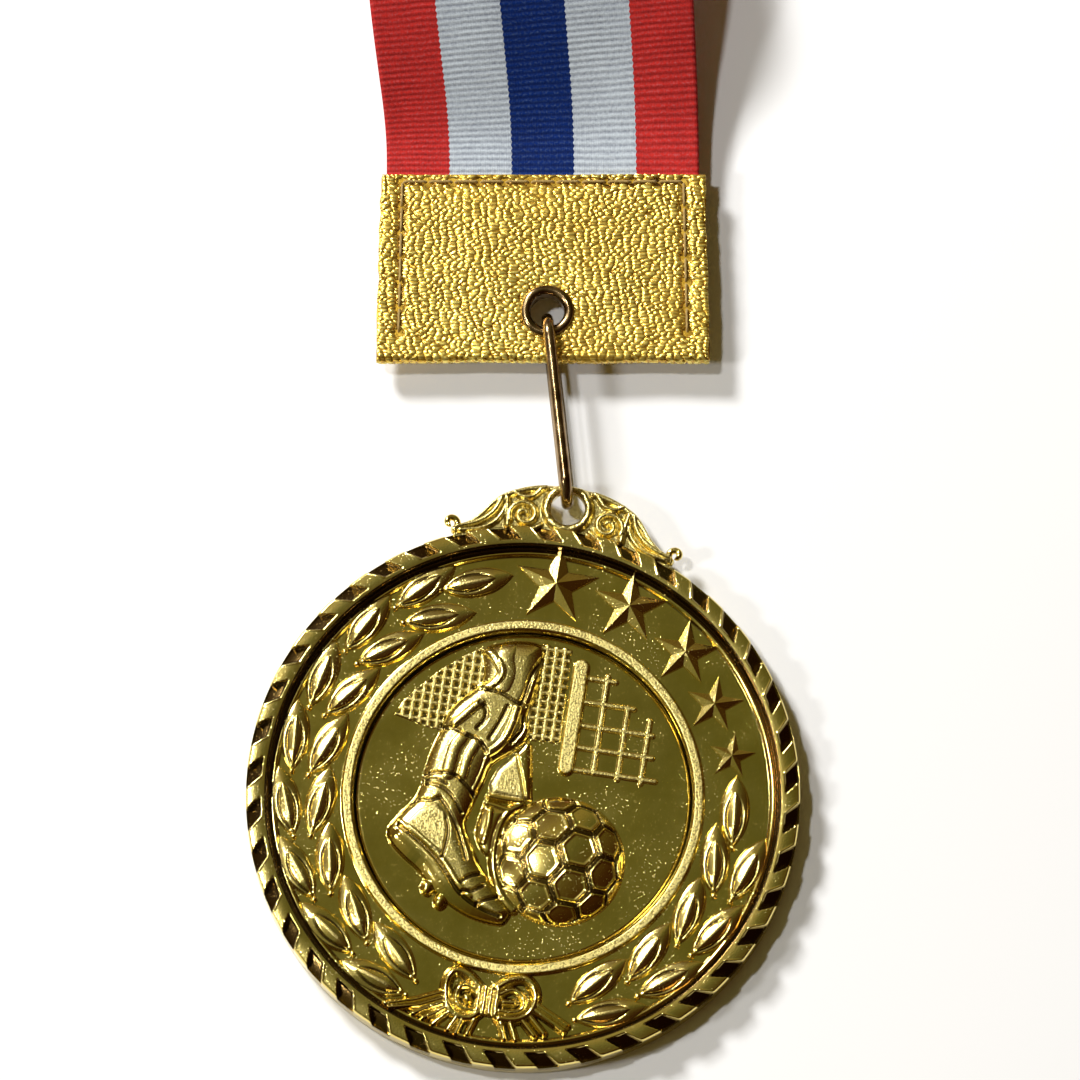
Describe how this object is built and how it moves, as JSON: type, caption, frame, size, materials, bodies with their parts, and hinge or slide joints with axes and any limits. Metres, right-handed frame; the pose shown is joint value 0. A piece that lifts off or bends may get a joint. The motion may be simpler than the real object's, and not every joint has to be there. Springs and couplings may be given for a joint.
{
  "type": "sports medal on a neck ribbon",
  "caption": "Cast sports medal with wreath, stars and football relief, hung by a long wire link from a sewn leatherette tab on a striped neck ribbon.",
  "frame": {"origin": "centre of the disc's flat back face", "axes": "+Y towards the crest and the ribbon, +Z out of the front of the medal"},
  "size_m": [0.0906, 0.2364, 0.0146],
  "materials": {
    "gold_plate": "polished gold plate with stippled details",
    "antique_brass": "polished antique brass",
    "gold_leatherette": "metallic gold, pebble grain",
    "striped_ribbon": "ribbed woven ribbon, red, white, blue, white and red stripes",
    "gold_thread": "twisted sewing thread",
    "adhesive_pad": "double-sided adhesive pad"
  },
  "bodies": {
    "medal": {"medal_casting": "gold_plate", "centre_insert": "gold_plate", "insert_adhesive": "adhesive_pad"},
    "link": {"link_ring": "antique_brass"},
    "tab": {"tab_cover": "gold_leatherette", "ribbon_end_front": "striped_ribbon", "ribbon_end_rear": "striped_ribbon", "eyelet_barrel": "antique_brass", "eyelet_washer": "antique_brass", "needle_thread": "gold_thread", "bobbin_thread": "gold_thread"},
    "ribbon": {"neck_ribbon": "striped_ribbon"}
  },
  "joints": [
    {"name": "link_flap", "type": "hinge", "parent": "medal", "child": "link", "pos_m": [-0.00083, 0.03814, 0.0034], "axis": [0.9668, 0.2554, 0], "range_deg": [-85, 85]},
    {"name": "tab_swing", "type": "hinge", "parent": "link", "child": "tab", "pos_m": [-0.00589, 0.05729, 0.0034], "axis": [0, 0, 1], "range_deg": [-45, 50]},
    {"name": "ribbon_fold", "type": "hinge", "parent": "tab", "child": "ribbon", "pos_m": [-0.00917, 0.07545, 0.0034], "axis": [0.9885, 0.1513, 0], "range_deg": [-90, 100]}
  ]
}
